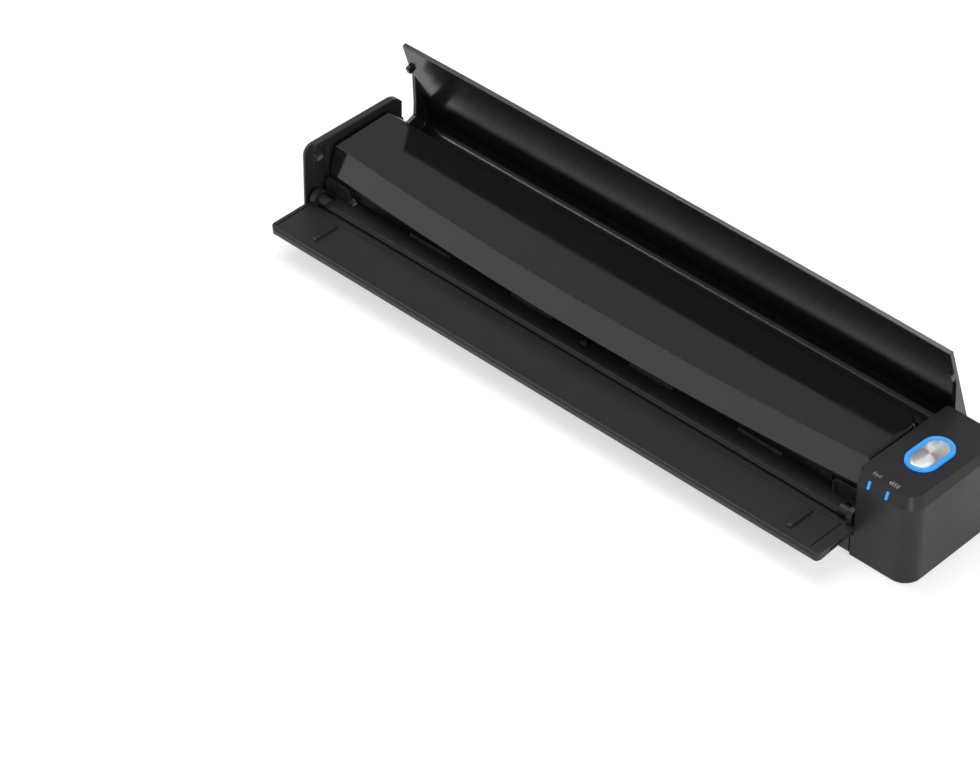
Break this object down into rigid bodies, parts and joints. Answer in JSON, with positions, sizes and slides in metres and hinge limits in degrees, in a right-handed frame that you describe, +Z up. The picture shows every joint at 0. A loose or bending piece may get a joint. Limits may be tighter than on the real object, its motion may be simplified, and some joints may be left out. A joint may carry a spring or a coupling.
{
  "type": "portable document scanner",
  "caption": "Slim table-top document scanner: a long bar with an open front feeding guide, a hinged top cover, a raised output guide behind it and a control block with a lit button.",
  "frame": {"origin": "underside of the middle foot, at table level below the middle of the closed bar", "axes": "+X along the bar towards the control block, +Y to the rear, where sheets come out, +Z up"},
  "size_m": [0.273, 0.0783, 0.0571],
  "materials": {
    "case_black": "satin, finely grained",
    "block_black": "satin, finely grained",
    "panel_black": "matt",
    "guide_gloss": "semi gloss",
    "cover_gloss": "piano gloss",
    "rubber_black": "matt",
    "tyre_grey": "matt",
    "steel_plate": "rolled",
    "steel_bright": "turned",
    "bush_bronze": "turned",
    "gear_white": "moulded",
    "backing_white": "satin",
    "sensor_glass": "clear",
    "board_green": "satin",
    "battery_wrap": "satin",
    "button_silver": "spun",
    "light_blue": "frosted, lit from behind"
  },
  "bodies": {
    "casing": {"left_cheek": "case_black", "base_casing": "case_black", "rubber_feet": "rubber_black", "right_block": "block_black", "paper_deck": "case_black", "backing_plate": "backing_white", "exit_ramp": "case_black", "left_side_plate": "steel_plate", "right_side_plate": "steel_plate", "shaft_bushes": "bush_bronze", "idler_axle": "steel_bright", "motor_can": "steel_plate", "lever_pin": "steel_bright", "lever_spring": "steel_bright", "photo_sensor": "panel_black", "light_ring": "light_blue", "light_bars": "light_blue", "main_board": "board_green", "board_chips": "panel_black", "scan_switch": "panel_black", "battery_cell": "battery_wrap", "data_socket": "steel_bright", "wireless_switch": "panel_black", "setup_switch": "panel_black", "case_screws": "steel_bright"},
    "feed_roller": {"feed_shaft": "steel_bright", "feed_tyres": "tyre_grey", "feed_gear": "gear_white"},
    "eject_roller": {"eject_shaft": "steel_bright", "eject_tyres": "tyre_grey", "eject_gear": "gear_white"},
    "idler": {"idler_gear": "gear_white"},
    "motor_rotor": {"motor_pinion": "bush_bronze"},
    "feeding_guide": {"feeding_guide_shell": "case_black", "feeding_guide_panel": "panel_black", "feeding_guide_pins": "steel_bright"},
    "output_guide": {"output_guide_shell": "guide_gloss", "output_guide_pins": "steel_bright"},
    "top_cover": {"top_cover_shell": "cover_gloss", "cover_hinge_pins": "steel_bright", "cover_frame": "panel_black", "sensor_housing": "panel_black", "sensor_bar": "board_green", "sensor_glass": "sensor_glass", "pinch_axles": "steel_bright", "pinch_springs": "steel_bright", "cover_frame_screws": "steel_bright"},
    "front_pinch": {"front_pinch_rollers": "tyre_grey"},
    "rear_pinch": {"rear_pinch_rollers": "tyre_grey"},
    "scan_button": {"scan_button_cap": "button_silver"},
    "setup_pin": {"setup_button": "case_black"},
    "wireless_slider": {"wireless_knob": "case_black"},
    "paper_lever": {"document_lever": "panel_black"}
  },
  "joints": [
    {"name": "feeding_guide_hinge", "type": "hinge", "parent": "casing", "child": "feeding_guide", "pos_m": [-0.01075, -0.02025, 0.0139], "axis": [-1, 0, 0], "range_deg": [0, 94]},
    {"name": "output_guide_hinge", "type": "hinge", "parent": "casing", "child": "output_guide", "pos_m": [-0.01075, 0.018, 0.0161], "axis": [1, 0, 0], "range_deg": [0, 70.5]},
    {"name": "top_cover_hinge", "type": "hinge", "parent": "casing", "child": "top_cover", "pos_m": [-0.01075, 0.0123, 0.0226], "axis": [1, 0, 0], "range_deg": [-40, 0]},
    {"name": "scan_button_press", "type": "slide", "parent": "casing", "child": "scan_button", "axis": [0, 0, -1], "range_m": [0, 0.0006], "stiffness_N_per_m": 800, "springref_m": -0.0004},
    {"name": "setup_button_press", "type": "slide", "parent": "casing", "child": "setup_pin", "axis": [0, -1, 0], "range_m": [0, 0.0005], "stiffness_N_per_m": 400, "springref_m": -0.0003},
    {"name": "wireless_switch_slide", "type": "slide", "parent": "casing", "child": "wireless_slider", "axis": [1, 0, 0], "range_m": [0, 0.003]},
    {"name": "document_lever_hinge", "type": "hinge", "parent": "casing", "child": "paper_lever", "pos_m": [-0.01075, -0.0154, 0.0085], "axis": [-1, 0, 0], "range_deg": [0, 30], "stiffness_Nm_per_rad": 0.00002, "springref_deg": -17.19},
    {"name": "feed_roller_spin", "type": "hinge", "parent": "casing", "child": "feed_roller", "pos_m": [0, -0.01, 0.00935], "axis": [1, 0, 0], "continuous": true},
    {"name": "eject_roller_spin", "type": "hinge", "parent": "casing", "child": "eject_roller", "pos_m": [0, 0.01, 0.00935], "axis": [1, 0, 0], "continuous": true},
    {"name": "idler_gear_spin", "type": "hinge", "parent": "casing", "child": "idler", "pos_m": [0, 0, 0.00935], "axis": [1, 0, 0], "continuous": true},
    {"name": "motor_spin", "type": "hinge", "parent": "casing", "child": "motor_rotor", "pos_m": [0, -0.00272, 0.00717], "axis": [1, 0, 0], "continuous": true},
    {"name": "front_pinch_spin", "type": "hinge", "parent": "top_cover", "child": "front_pinch", "pos_m": [0, -0.01, 0.0175], "axis": [1, 0, 0], "continuous": true},
    {"name": "rear_pinch_spin", "type": "hinge", "parent": "top_cover", "child": "rear_pinch", "pos_m": [0, 0.01, 0.0175], "axis": [1, 0, 0], "continuous": true}
  ],
  "couplings": [
    {"joint": "eject_roller_spin", "follows": "feed_roller_spin", "ratio": 1},
    {"joint": "idler_gear_spin", "follows": "feed_roller_spin", "ratio": -1.2727},
    {"joint": "motor_spin", "follows": "feed_roller_spin", "ratio": -2.8},
    {"joint": "front_pinch_spin", "follows": "feed_roller_spin", "ratio": -1.6667},
    {"joint": "rear_pinch_spin", "follows": "feed_roller_spin", "ratio": -1.6667}
  ]
}
